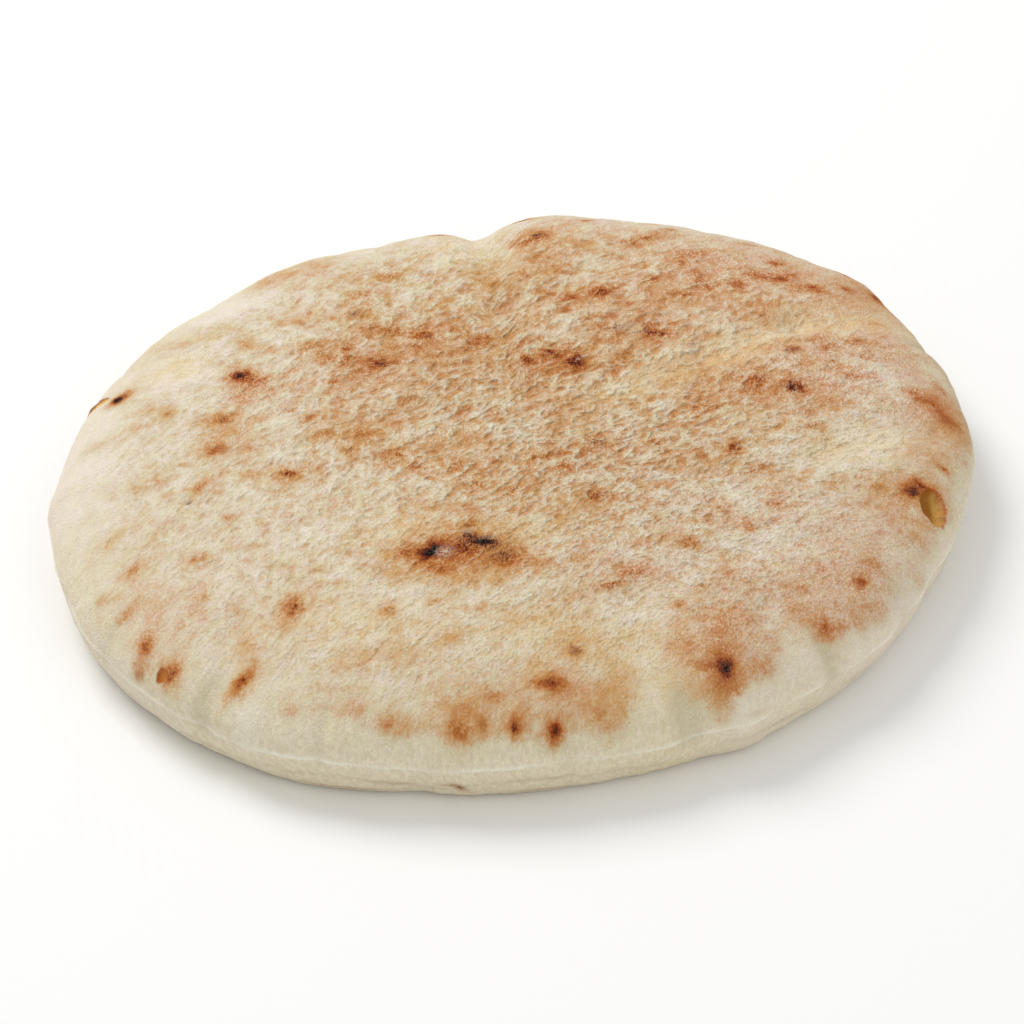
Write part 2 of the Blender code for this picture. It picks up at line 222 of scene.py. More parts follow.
# Toast colours from bare dough to char, in display red, green and blue.
TOAST_COLOURS = (
    (0.0, (230, 220, 205)), (0.12, (222, 211, 191)), (0.25, (213, 199, 170)),
    (0.35, (209, 185, 152)), (0.45, (205, 171, 133)), (0.53, (200, 155, 108)),
    (0.60, (193, 138, 89)), (0.68, (181, 114, 58)), (0.76, (162, 88, 40)),
    (0.84, (130, 56, 26)), (0.92, (84, 30, 16)), (1.0, (18, 4, 2)),
)

# The flat map: radii of its two discs, the plan reach of the base one, and the map's margin.
TOP_DISC = 0.455
BASE_DISC = 0.125
BASE_REACH = 100.0
MAP_EDGE = 0.001

# The studio: light strengths in watts, places in metres.
AMBIENT = 0.600
KEY_POWER = 13.9
FILL_POWER = 4.0
KEY_PLACE = (-0.75, 0.75, 1.15)
FILL_PLACE = (0.7, -1.0, 0.9)
LIGHT_TARGET = (0.0, 0.0, 0.01)
WHITE = (1.0, 1.0, 1.0)
WARM_WHITE = (1.0, 0.97, 0.91)
FLOOR_REACH = 3.0

# The camera, in metres and millimetres of lens: it looks down by LIFT degrees.
LENS = 127.2
SENSOR = 36.0
DISTANCE = 0.75
LIFT = 37.0
TARGET = (-0.0009, -0.0153, 0.012)

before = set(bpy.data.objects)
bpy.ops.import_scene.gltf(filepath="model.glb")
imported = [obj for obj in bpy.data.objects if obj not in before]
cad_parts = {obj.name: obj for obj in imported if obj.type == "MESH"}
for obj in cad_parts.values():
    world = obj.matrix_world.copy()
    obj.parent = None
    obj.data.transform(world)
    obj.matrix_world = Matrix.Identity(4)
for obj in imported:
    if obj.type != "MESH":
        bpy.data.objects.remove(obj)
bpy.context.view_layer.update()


# ---- Shape -------------------------------------------------------------------------------

def polar(flat):
    return np.hypot(flat[:, 0], flat[:, 1]), np.arctan2(flat[:, 1], flat[:, 0])


def degrees_past(angle, direction):
    """How far an angle in radians has turned past a direction in degrees, within half a turn."""
    return (np.degrees(angle) - direction + 180.0) % 360.0 - 180.0


def rim_radius(angle):
    radius = np.full_like(angle, MEAN_RADIUS)
    for lobes, swell, direction in RIM_SWELLS:
        radius += swell * np.cos(lobes * (angle - math.radians(direction)))
    for direction, half_width, out in RIM_BUMPS:
        turn = degrees_past(angle, direction)
        radius += out * np.exp(-((turn / half_width) ** 2))
    return radius


def crown_height(x, y):
    height = np.full_like(x, CROWN_HEIGHT)
    for middle_x, middle_y, radius, rise in PUFFS:
        height += rise * np.exp(-((x - middle_x) ** 2 + (y - middle_y) ** 2) / radius ** 2)
    for start_x, start_y, end_x, end_y, half_width, depth in FOLDS:
        along = np.array([end_x - start_x, end_y - start_y], float)
        part = ((x - start_x) * along[0] + (y - start_y) * along[1]) / along.dot(along)
        part = np.clip(part, 0.0, 1.0)
        away = np.hypot(x - start_x - part * along[0], y - start_y - part * along[1])
        height -= depth * np.exp(-((away / half_width) ** 2))
    return height


def profile_table():
    """Arc length from the crown, with the share of the radius, the dome's height and the tuck."""
    steps = np.linspace(0.0, 1.0, PROFILE_STEPS)
    share = 1.0 - (1.0 - steps) ** 2
    dome = np.sqrt(np.clip(1.0 - share ** SHOULDER_POWER, 0.0, 1.0))
    top = np.stack([share * MEAN_RADIUS, SEAM_HEIGHT + (CROWN_HEIGHT - SEAM_HEIGHT) * dome], 1)
    turn = steps[1:] * 0.5 * math.pi
    tuck = np.stack([MEAN_RADIUS - RIM_TUCK * (1.0 - np.cos(turn)),
                     SEAM_HEIGHT * (1.0 - np.sin(turn))], 1)
    path = np.concatenate([top, tuck])
    lengths = np.linalg.norm(np.diff(path, axis=0), axis=1)
    arc = np.concatenate([[0.0], np.cumsum(lengths)])
    share = np.concatenate([share, np.ones(len(turn))])
    dome = np.concatenate([dome, np.zeros(len(turn))])
    turn = np.concatenate([np.zeros(len(steps)), turn])
    return arc, share, dome, turn


ARC, ARC_SHARE, ARC_DOME, ARC_TUCK = profile_table()
SKIN_EDGE = ARC[-1]
SKIN_SEAM = ARC[PROFILE_STEPS - 1]


def skin_to_space(skin):
    """Places on the smooth bread for places on its unrolled skin."""
    arc, angle = polar(skin)
    share = np.interp(arc, ARC, ARC_SHARE)
    dome = np.interp(arc, ARC, ARC_DOME)
    tuck = np.interp(arc, ARC, ARC_TUCK)
    radius = rim_radius(angle) * share - RIM_TUCK * (1.0 - np.cos(tuck))
    x = radius * np.cos(angle)
    y = radius * np.sin(angle)
    z = SEAM_HEIGHT * (1.0 - np.sin(tuck)) + (crown_height(x, y) - SEAM_HEIGHT) * dome
    return np.stack([x, y, z], 1)


def skin_place(x, y):
    """The place on the unrolled skin that lies above the plan place x, y."""
    angle = np.arctan2([y], [x])
    share = np.minimum(np.hypot(x, y) / rim_radius(angle), 1.0)
    arc = np.interp(share, ARC_SHARE[:PROFILE_STEPS], ARC[:PROFILE_STEPS])
    return np.concatenate([arc * np.cos(angle), arc * np.sin(angle)])


def skin_normals(skin):
    ahead = skin_to_space(skin + (EDGE_STEP, 0.0)) - skin_to_space(skin - (EDGE_STEP, 0.0))
    aside = skin_to_space(skin + (0.0, EDGE_STEP)) - skin_to_space(skin - (0.0, EDGE_STEP))
    normals = np.cross(ahead, aside)
    return normals / np.linalg.norm(normals, axis=1)[:, None]


# ---- Mesh --------------------------------------------------------------------------------

def square_disc(rings):
    """A square grid bent into a disc of radius 1, as places and quads, and its rim's indices."""
    side = 2 * rings + 1
    column, row = np.meshgrid(np.arange(-rings, rings + 1), np.arange(-rings, rings + 1))
    column = column.ravel().astype(float)
    row = row.ravel().astype(float)
    ring = np.maximum(np.abs(column), np.abs(row))
    safe = np.maximum(ring, 1.0)
    wide = np.abs(column) >= np.abs(row)
    angle = np.where(wide,
                     0.25 * math.pi * row / safe,
                     0.5 * math.pi * np.sign(row) - 0.25 * math.pi * column / safe * np.sign(row))
    angle = np.where(wide & (column < 0),
                     math.pi - 0.25 * math.pi * row / safe, angle)
    places = np.stack([ring / rings * np.cos(angle), ring / rings * np.sin(angle)], 1)
    first = (np.arange(side - 1)[:, None] * side + np.arange(side - 1)[None, :]).ravel()
    quads = np.stack([first, first + 1, first + side + 1, first + side], 1)
    edge = np.flatnonzero(ring == rings)
    edge = edge[np.argsort(np.mod(angle[edge], 2 * math.pi))]
    return places, quads, edge


def ring_warp(share):
    """Spaces the crust's rings, closer together at the seam."""
    steps = np.linspace(0.0, 1.0, 2000)
    closeness = 1.0 + 1.6 * np.exp(-((steps * SKIN_EDGE - SKIN_SEAM) / 2.2) ** 2)
    total = np.concatenate([[0.0], np.cumsum(0.5 * (closeness[1:] + closeness[:-1]))])
    return np.interp(share, total / total[-1], steps)


def halve_ring(outer, inner):
    """Triangles between a ring and one of half its points."""
    faces = []
    for index in range(len(inner)):
        a = outer[2 * index]
        b = outer[2 * index + 1]
        c = outer[(2 * index + 2) % len(outer)]
        near = inner[index]
        far = inner[(index + 1) % len(inner)]
        faces += [(a, near, b), (near, far, b), (b, far, c)]
    return faces


def crust_topology():
    """Places on the unrolled skin and on the flat base, with the faces of each."""
    disc, quads, edge = square_disc(CRUST_RINGS)
    reach = np.hypot(disc[:, 0], disc[:, 1])
    skin = disc * (ring_warp(reach) / np.maximum(reach, 1e-9) * SKIN_EDGE)[:, None]
    base_disc, base_quads, base_edge = square_disc(BASE_RINGS)
    middle_angles = 2.0 * math.pi * np.arange(len(edge) // 2) / (len(edge) // 2)
    middle_angles += np.mod(np.arctan2(disc[edge[0], 1], disc[edge[0], 0]), 2.0 * math.pi)
    rim = (rim_radius(middle_angles) - RIM_TUCK) * BASE_RING_SHARES[0]
    middle_ring = np.stack([rim * np.cos(middle_angles), rim * np.sin(middle_angles)], 1)
    angle = np.arctan2(base_disc[:, 1], base_disc[:, 0])
    base_plan = base_disc * ((rim_radius(angle) - RIM_TUCK) * BASE_RING_SHARES[1])[:, None]
    middle_first = len(skin)
    base_first = middle_first + len(middle_ring)
    middle = (middle_first + np.arange(len(middle_ring))).tolist()
    inner = (base_first + base_edge).tolist()
    base_faces = halve_ring(edge.tolist(), middle) + halve_ring(middle, inner)
    base_faces += [tuple(reversed(quad)) for quad in (base_quads + base_first).tolist()]
    return skin, np.concatenate([middle_ring, base_plan]), quads.tolist(), base_faces


# ---- Fields over the crust -----------------------------------------------------------------

def sample(kind, x, y, wave_x, wave_y, seed):
    """A noise of one kind over flat places, with its wavelengths in millimetres."""
    return np.array([kind(Vector((a, b, seed))) for a, b in zip(x / wave_x, y / wave_y)])


def sample_round(angle, arc, wave_round, wave_out, seed):
    """Noise round the rim that joins up where the turn ends."""
    east = np.cos(angle) * SKIN_SEAM / wave_round + seed
    north = np.sin(angle) * SKIN_SEAM / wave_round
    return np.array([noise.noise(Vector(place)) for place in zip(east, north, arc / wave_out)])


def plain_noise(place):
    return noise.noise(place)


def soft_noise(place):
    return noise.fractal(place, 1.0, 2.0, 3)


def round_noise(flat, wave, seed):
    """A soft noise with the same wavelength both ways."""
    return sample(soft_noise, flat[:, 0], flat[:, 1], wave, wave, seed)


def ridge_noise(place):
    return 1.0 - 2.0 * math.hypot(noise.noise(place), 0.24)


def hump(x, y, place, power):
    middle_x, middle_y, along, across, strength, turn = (*place, 0.0)[:6]
    cosine = math.cos(math.radians(turn))
    sine = math.sin(math.radians(turn))
    step_x = x - middle_x
    step_y = y - middle_y
    reach = np.hypot((step_x * cosine + step_y * sine) / along,
                     (step_y * cosine - step_x * sine) / across)
    return strength * np.exp(-(reach ** power))


def grain_coordinates(flat):
    """Along and across the wrinkles, which turn from steep on the left to slanting on the right."""
    turned = np.exp(1j * (GRAIN_CURL * (flat[:, 0] + 1j * flat[:, 1]) - math.radians(GRAIN_DIRECTION)))
    flow = turned / (1j * GRAIN_CURL)
    return flow.real, flow.imag


def smooth_step(low, high, value):
    part = np.clip((value - low) / (high - low), 0.0, 1.0)
    return part * part * (3.0 - 2.0 * part)


def relief_over_skin(skin, plan):
    """Heights in millimetres off the smooth bread, its fine crests, their strength and the dents."""
    along, across = grain_coordinates(skin)
    arc, angle = polar(skin)
    rim = smooth_step(0.72 * SKIN_SEAM, 0.97 * SKIN_SEAM, arc)
    bend = 2.2 * sample(plain_noise, along, across, 26.0, 14.0, 3.1)
    folds = sample(ridge_noise, along, across + bend, 30.0, 9.5, 11.7)
    wrinkles = sample(ridge_noise, along, across + bend, 6.5, 3.8, 23.3)
    pebbles = sample(plain_noise, along, across, 3.4, 2.8, 41.3)
    lumps = round_noise(skin, 24.0, 53.9)
    middle = np.exp(-(np.hypot(plan[:, 0] - 12.0, plan[:, 1] - 14.0) / 62.0) ** 2)
    strength = (0.36 + 0.84 * middle) * (1.0 - 0.72 * rim)
    fine = strength * (0.50 * (folds - 0.3) + 0.50 * (wrinkles - 0.3) + 0.46 * pebbles)
    grooves = sample_round(angle, arc, 2.4, 15.0, 67.1)
    slow_grooves = sample_round(angle, arc, 7.0, 26.0, 71.7)
    height = fine + 0.32 * lumps * (1.0 - 0.5 * rim)
    height += rim * (0.14 * grooves + 0.30 * slow_grooves)
    upright = smooth_step(SKIN_SEAM - 17.0, SKIN_SEAM - 6.0, arc)
    upright = upright * (1.0 - smooth_step(SKIN_SEAM - 1.0, SKIN_SEAM + 6.0, arc))
    dents = np.zeros(len(skin))
    for direction, half_width, depth in RIM_DENTS:
        away = np.radians(degrees_past(angle, direction)) * MEAN_RADIUS / half_width
        dents += depth * upright * np.exp(-away ** 2)
    return height - dents, fine, strength, dents


def seam_relief(skin):
    """The thin raised line round the widest part with the band and crease under it.

    Gives their heights, then where the line is and where the crease is.
    """
    arc, angle = polar(skin)
    flat = np.zeros_like(arc)
    wander = 1.2 * sample_round(angle, flat, 24.0, 1.0, 81.3)
    wander += 0.3 * sample_round(angle, flat, 6.0, 1.0, 83.9)
    beyond = arc - SKIN_SEAM - wander
    broken = 0.58 + 1.3 * sample_round(angle, flat, 12.0, 1.0, 87.7)
    line = np.clip(broken, 0.05, 1.0) * np.exp(-((beyond / 0.50) ** 2))
    band = smooth_step(-0.2, 0.9, beyond) * (1.0 - smooth_step(6.5, 10.5, arc - SKIN_SEAM))
    crease_break = np.clip(0.45 + 1.6 * sample_round(angle, flat, 16.0, 1.0, 91.1), 0, 1)
    crease = crease_break * np.exp(-(((beyond - 4.6 - 1.5 * wander) / 0.55) ** 2))
    return 0.36 * line - 0.16 * band - 0.30 * crease, line, crease


# ---- Bursts --------------------------------------------------------------------------------

def open_burst(burst, skin):
    """Sinks the skin inside a burst into a pocket with a lip.

    Gives the moved skin, its heights, how far out of the burst each place is with 1 at its ragged
    edge, and how far to its left.
    """
    edge_noise = round_noise(skin, 1.8, burst["seed"])
    turn = math.radians(burst["turn"])
    long_way = np.array([math.cos(turn), math.sin(turn)])
    middle = skin_place(burst["x"], burst["y"])
    step = skin - middle
    along = step.dot(long_way) / burst["half_length"]
    across = step[:, 1] * long_way[0] - step[:, 0] * long_way[1]
    even = np.hypot(along, (across - burst["bow"] * along ** 2) / burst["half_width"])
    aside = across / burst["half_width"]
    calm_side = 1.0 - 0.65 * smooth_step(-0.3, 0.6, aside)
    reach = even * (1.0 + burst["ragged"] * calm_side * edge_noise)
    inside = np.clip(1.0 - reach, 0.0, 1.0)
    deep = smooth_step(0.0, 0.25, inside)
    inside = inside * (1.0 - deep) + np.clip(1.0 - even, 0.0, 1.0) * deep
    wall = np.clip(inside / burst["wall"], 0.0, 1.0)
    depth = burst["depth"] * (1.0 - (1.0 - wall) ** 2.2)
    floor_noise = round_noise(skin, 2.4, burst["seed"] + 5.0)
    depth *= 1.0 + 0.22 * floor_noise * wall
    spread = 1.0 + burst["undercut"] * np.sin(math.pi * np.clip(inside / (2.2 * burst["wall"]), 0, 1))
    spread = np.where(reach < 1.0, spread, 1.0)
    moved = middle + (skin - middle) * spread[:, None]
    lip = np.exp(-(((reach - 1.10) / 0.16) ** 2)) * (0.6 + 0.8 * edge_noise)
    side = smooth_step(-0.4, 0.6, aside)
    lip *= burst["lip_right"] * (1.0 - side) + burst["lip_left"] * side
    return moved, lip - depth, reach, aside


# Openings in the crust, their long side turned by turn from +X on the unrolled skin. Depth, lips
# and bow are in millimetres; ring and wall are shares of the way from the edge to the middle; left
# is the side that the long direction has on its left. The crumb colours paint shade and light: darker
# on the left as painted shade on the pocket's floor under its lip, lighter on the right as painted
# light on the far wall, with change where they meet.
BURSTS = (
    dict(x=85.5, y=-20.9, turn=104.0, half_length=5.4, half_width=3.1, depth=1.7, bow=-0.6,
         ragged=0.2, wall=0.30, undercut=0.04, lip_left=0.15, lip_right=0.34, seed=7.7,
         change=-0.32, ring=0.055, shaded_left_crumb=(160, 104, 42), lit_right_crumb=(204, 158, 86),
         left_scorch=0.2, right_scorch=1.0, scorch=(184, 96, 32)),
    dict(x=-68.9, y=-72.3, turn=52.0, half_length=1.6, half_width=1.15, depth=0.5, bow=0.1,
         ragged=0.5, wall=0.6, undercut=0.0, lip_left=0.12, lip_right=0.08, seed=11.7, change=0.6,
         ring=0.12, shaded_left_crumb=(160, 84, 36), lit_right_crumb=(184, 104, 46), left_scorch=0.5,
         right_scorch=0.2, scorch=(140, 72, 34)),
    dict(x=-89.4, y=17.4, turn=8.0, half_length=3.7, half_width=1.4, depth=0.4, bow=-1.1,
         ragged=0.35, wall=0.6, undercut=0.0, lip_left=0.35, lip_right=0.0, seed=9.1, change=0.0,
         ring=0.09, shaded_left_crumb=(234, 184, 104), lit_right_crumb=(236, 198, 130), left_scorch=1.0,
         right_scorch=0.1, scorch=(130, 42, 20)),
)
# Pinholes: x, y, radius and depth.
PINHOLES = ((-66.5, -27.5, 0.45, 0.9), (-93.0, 11.4, 0.5, 0.6))


# ---- Building the crust --------------------------------------------------------------------

def refine_near(mesh, centres, reach):
    """Splits the faces near each burst, so that its outline is crisp."""
    near = [face for face in mesh.faces
            if any((face.calc_center_median().xy - centre).length < reach for centre in centres)]
    edges = list({edge for face in near for edge in face.edges})
    bmesh.ops.subdivide_edges(mesh, edges=edges, cuts=1, use_grid_fill=True)


def flat_crust(skin, faces):
    """The crust's top and rim as a flat mesh of the unrolled skin, finer at the bursts."""
    flat = bmesh.new()
    corners = [flat.verts.new((x, y, 0.0)) for x, y in skin.tolist()]
    for face in faces:
        flat.faces.new([corners[index] for index in face])
    centres = [Vector(skin_place(burst["x"], burst["y"])) for burst in BURSTS]
    for reach in REFINED_REACHES:
        refine_near(flat, centres, reach)
    flat.verts.index_update()
    skin = np.array([corner.co.xy[:] for corner in flat.verts])
    faces = [tuple(corner.index for corner in face.verts) for face in flat.faces]
    flat.free()
    return skin, faces


def toast_over_plan(x, y, skin):
    """How toasted each place is and how dark its spots are, both from 0 to 1."""
    warp_x = sample(soft_noise, x, y, 3.2, 3.2, 101.3)
    warp_y = sample(soft_noise, x, y, 3.2, 3.2, 107.9)
    wide_x = sample(plain_noise, x, y, 17.0, 17.0, 113.1)
    wide_y = sample(plain_noise, x, y, 17.0, 17.0, 127.7)
    zones = np.full_like(x, TOAST_BASE)
    for zone in TOAST_ZONES:
        zones += hump(x + 4.0 * wide_x, y + 4.0 * wide_y, zone, 2.0)
    arc, angle = polar(skin)
    edge = SKIN_SEAM - 5.0 + 2.5 * np.cos(angle - 0.4)
    for direction, half_width, out in TOAST_EDGES:
        edge = edge + out * np.exp(-((degrees_past(angle, direction) / half_width) ** 2))
    edge = edge + 2.6 * sample_round(angle, arc, 9.0, 9.0, 131.9)
    kept = 1.0 - smooth_step(-5.0, 4.0, arc - edge)
    zones -= 0.45 * np.maximum(zones - 0.42, 0.0)
    clear = np.ones_like(x)
    glow = np.zeros_like(x)
    bent_x = x + 0.7 * warp_x
    bent_y = y + 0.7 * warp_y
    for middle_x, middle_y, along, across, dark, *turn in SPOTS:
        body = dark * (0.75 + 0.32 * dark)
        core = (middle_x, middle_y, 1.2 * along, 1.2 * across, body, *turn)
        heart = (middle_x, middle_y, 0.62 * along, 0.62 * across, 1.3 * (dark - 0.25), *turn)
        halo = (middle_x, middle_y, 2.5 * along, 2.5 * across, 0.26 * dark, *turn)
        clear *= 1.0 - np.clip(hump(bent_x, bent_y, core, 2.1), 0.0, 0.98)
        clear *= 1.0 - np.clip(hump(bent_x, bent_y, heart, 2.0), 0.0, 0.95)
        glow = np.maximum(glow, hump(bent_x, bent_y, halo, 2.0))
    above = 1.0 - smooth_step(-2.5, 1.0, arc - SKIN_SEAM)
    zones = np.clip(zones, 0.02, 0.85) * kept + glow * above
    return zones, (1.0 - clear) * above


def build_crust():
    coarse_skin, base_plan, coarse_faces, base_faces = crust_topology()
    skin, top_faces = flat_crust(coarse_skin, coarse_faces)
    shift = len(skin) - len(coarse_skin)
    base_faces = [tuple(index + shift if index >= len(coarse_skin) else index for index in face)
                  for face in base_faces]

    plan = skin_to_space(skin)
    relief, crests, strength, dents = relief_over_skin(skin, plan)
    seam, seam_line, crease = seam_relief(skin)
    zones, spots = toast_over_plan(plan[:, 0], plan[:, 1], skin)
    height = relief + seam + 0.22 * spots * (1.0 - spots) - 0.12 * spots ** 2
    # Mask for the painted shade inside the pinholes; their depth goes into the heights.
    pinhole_shade = np.zeros(len(skin))
    for x, y, radius, depth in PINHOLES:
        away = np.linalg.norm(skin - skin_place(x, y), axis=1) / radius
        pinhole_shade = np.maximum(pinhole_shade, np.exp(-away ** 2))
        height -= depth * np.exp(-away ** 2)
    moved = skin.copy()
    inside = np.zeros(len(skin))
    burnt = np.zeros(len(skin))
    crumb = np.zeros((len(skin), 3))
    scorch = np.tile(paint(70, 26, 12)[:3], (len(skin), 1))
    for burst in BURSTS:
        pushed, sink, reach, aside = open_burst(burst, skin)
        near = reach < 1.0
        moved[near] = pushed[near]
        height = np.where(near, height * np.clip(2.0 * reach - 1.0, 0.0, 1.0), height) + sink
        inside = np.maximum(inside, 1.0 - smooth_step(0.90, 1.0, reach))
        ring = np.exp(-(((reach - 1.0) / burst["ring"]) ** 2))
        # Crumb inside each burst: darker on its left as painted shade, lighter on its right as painted
        # light.
        change = burst["change"]
        left = smooth_step(change - 0.25, change + 0.25, aside)[:, None]
        colour = left * paint(*burst["shaded_left_crumb"])[:3]
        colour = colour + (1 - left) * paint(*burst["lit_right_crumb"])[:3]
        close = reach[:, None] < 1.5
        crumb = np.where(close, colour, crumb)
        scorch = np.where(close, paint(*burst["scorch"])[:3], scorch)
        left = smooth_step(-0.5, 0.5, aside)
        burnt = np.maximum(burnt, ring * (burst["left_scorch"] * left
                                          + burst["right_scorch"] * (1.0 - left)))
    places = skin_to_space(moved) + skin_normals(moved) * height[:, None]
    flat_edge = np.hypot(skin[:, 0], skin[:, 1]) > SKIN_EDGE - 0.01
    places[flat_edge, 2] = 0.0
    places[:, 2] = np.maximum(places[:, 2], 0.0)

    base_lift = np.clip(0.12 + 0.16 * round_noise(base_plan, 9.0, 139.1), 0.0, 0.4)
    base_places = np.column_stack([base_plan, base_lift])
    all_places = np.concatenate([places, base_places]) * MM
    mesh = bpy.data.meshes.new("crust")
    mesh.from_pydata(all_places.tolist(), [], top_faces + base_faces)
    mesh.validate()

    base_zones = np.clip(0.30 + 0.30 * round_noise(base_plan, 46.0, 149.3), 0.02, 0.8)
    base_spots = np.clip(2.6 * round_noise(base_plan, 9.0, 151.7) - 0.75, 0.0, 0.6)
    base_along, base_across = grain_coordinates(base_plan)
    along, across = grain_coordinates(skin)
    yellow = sum(hump(plan[:, 0], plan[:, 1], place, 2.0) for place in YELLOW_ZONES)
    blush = sum(hump(plan[:, 0], plan[:, 1], place, 2.0) for place in BLUSH_ZONES)
    arc, angle = polar(skin)
    rim = smooth_step(0.80 * SKIN_SEAM, 0.97 * SKIN_SEAM, arc)
    shoulder = smooth_step(0.60 * SKIN_SEAM, 0.86 * SKIN_SEAM, arc)

    fleck = np.zeros(len(skin))
    for direction, past, *rest in RIM_FLECKS:
        place = (math.radians(direction) * SKIN_SEAM, past, *rest)
        fleck += hump(angle * SKIN_SEAM, arc - SKIN_SEAM, place, 2.0)
    ash = np.max([hump(plan[:, 0], plan[:, 1], place, 3.0) for place in ASH], axis=0)

    # Every layer has three parts, each with its values on the skin and on the base.
    none = np.zeros(len(skin))
    quiet = np.zeros(len(base_plan))
    crests = np.clip(0.5 + 0.9 * crests, 0, 1)
    far = (none, quiet + BASE_NOISE_SHIFT)
    layers = {
        "toast": ((zones, base_zones), (spots, base_spots), (rim, quiet)),
        "tint": ((np.clip(yellow, 0, 1), quiet + 0.2), (np.clip(blush, 0, 1), quiet + 0.3),
                 (seam_line, quiet)),
        "relief": ((crests, quiet + 0.5), (strength, quiet + 0.5), (shoulder, quiet)),
        "rimming": ((dents, quiet), (crease, quiet), (np.clip(fleck, 0.0, 1.0), quiet)),
        "ash": ((ash, quiet), (none, quiet), (none, quiet)),
        "hollow": ((inside, quiet), (burnt, quiet), (pinhole_shade, quiet)),
        "crumb": [(channel, quiet) for channel in crumb.T],
        "scorch": [(channel, quiet) for channel in scorch.T],
        "skin": ((skin[:, 0], base_plan[:, 0]), (skin[:, 1], base_plan[:, 1]), far),
        "grain": ((along, base_along), (across, base_across), far),
        "groove": ((np.cos(angle) * SKIN_SEAM, base_plan[:, 0]),
                   (np.sin(angle) * SKIN_SEAM, base_plan[:, 1]), (arc / 8.0, quiet)),
    }
    for name, parts in layers.items():
        data = np.column_stack([np.concatenate(part) for part in parts])
        layer = mesh.attributes.new(name, "FLOAT_VECTOR", "POINT")
        layer.data.foreach_set("vector", data.astype(np.float32).ravel())
    add_map(mesh, skin, base_plan)
    mesh.shade_smooth()
    crust = bpy.data.objects.new("crust", mesh)
    bpy.context.scene.collection.objects.link(crust)
    return crust


def add_map(mesh, skin, base_plan):
    """A flat map with the crust as one big disc and the base as a small one in the corner."""
    corners = np.empty(len(mesh.loops), dtype=np.int64)
    mesh.loops.foreach_get("vertex_index", corners)
    polygon_of_corner = np.repeat(np.arange(len(mesh.polygons)),
                                  [polygon.loop_total for polygon in mesh.polygons])
    on_base = np.zeros(len(mesh.polygons), dtype=bool)
    np.logical_or.at(on_base, polygon_of_corner, corners >= len(skin))
    places = np.empty(len(mesh.vertices) * 3)
    mesh.vertices.foreach_get("co", places)
    places = places.reshape(-1, 3)
    top_disc = MAP_EDGE + TOP_DISC * (1.0 + np.concatenate([skin, 0.0 * base_plan]) / SKIN_EDGE)
    base_disc = 1.0 - MAP_EDGE - BASE_DISC * (1.0 - places[:, :2] / (BASE_REACH * MM))
    chosen = np.where(on_base[polygon_of_corner][:, None], base_disc[corners], top_disc[corners])
    layer = mesh.uv_layers.new(name="OFBake")
    layer.data.foreach_set("uv", chosen.astype(np.float32).ravel())


# ---- Material ------------------------------------------------------------------------------

def linear(channel):
    channel = channel / 255.0
    return channel / 12.92 if channel <= 0.04045 else ((channel + 0.055) / 1.055) ** 2.4


def paint(red, green, blue):
    return (linear(red), linear(green), linear(blue), 1.0)


class Nodes:
    """Small helpers that add and link shader nodes."""

    def __init__(self, material):
        material.use_nodes = True
        self.tree = material.node_tree
        self.tree.nodes.clear()

    def add(self, kind, inputs=(), **settings):
        node = self.tree.nodes.new(kind)
        for name, value in settings.items():
            setattr(node, name, value)
        for socket, value in dict(inputs).items():
            if isinstance(value, bpy.types.NodeSocket):
                self.tree.links.new(value, node.inputs[socket])
            else:
                node.inputs[socket].default_value = value
        return node

    def math(self, operation, first, second=0.0, third=0.0, clamp=False):
        node = self.add("ShaderNodeMath", {0: first, 1: second, 2: third},
                        operation=operation, use_clamp=clamp)
        return node.outputs[0]

    plus = partialmethod(math, "ADD")
    minus = partialmethod(math, "SUBTRACT")
    times = partialmethod(math, "MULTIPLY")
    scaled = partialmethod(math, "MULTIPLY_ADD")
    larger = partialmethod(math, "MAXIMUM")
    smaller = partialmethod(math, "MINIMUM")

    def swing(self, value):
        """How far a value is off its middle of 0.5."""
        return self.minus(value, 0.5)

    def span(self, value, low, high, to_low=0.0, to_high=1.0):
        node = self.add("ShaderNodeMapRange", {"Value": value, "From Min": low, "From Max": high,
                                               "To Min": to_low, "To Max": to_high},
                        interpolation_type="SMOOTHSTEP", clamp=True)
        return node.outputs["Result"]

    def mix(self, share, first, second, blend="MIX"):
        node = self.add("ShaderNodeMix", {0: share, 6: first, 7: second},
                        data_type="RGBA", blend_type=blend)
        return node.outputs[2]

    def attribute(self, name):
        return self.add("ShaderNodeAttribute", attribute_name=name).outputs["Vector"]

    def parts(self, name):
        return tuple(self.add("ShaderNodeSeparateXYZ", {"Vector": self.attribute(name)}).outputs)

    def stretch(self, vector, along, across, depth=1.0):
        """The vector with its first two parts counted in wavelengths of along and across."""
        scale = (1.0 / along, 1.0 / across, 1.0 / depth)
        node = self.add("ShaderNodeVectorMath", {0: vector, 1: scale}, operation="MULTIPLY")
        return node.outputs[0]

    def ridges(self, vector, roundness):
        """Winding ridges with rounded tops, 1 along their tops and near 0 between them."""
        side = self.swing(self.noise(vector, 0.5, 0.4))
        side = self.scaled(side, side, roundness ** 2)
        return self.scaled(self.math("SQRT", side), -5.0, 1.0 + 5.0 * roundness)

    def noise(self, vector, detail=2.0, roughness=0.55, dimensions="2D"):
        node = self.add("ShaderNodeTexNoise", {"Vector": vector, "Scale": 1.0, "Detail": detail,
                                               "Roughness": roughness}, noise_dimensions=dimensions)
        return node.outputs["Fac"]


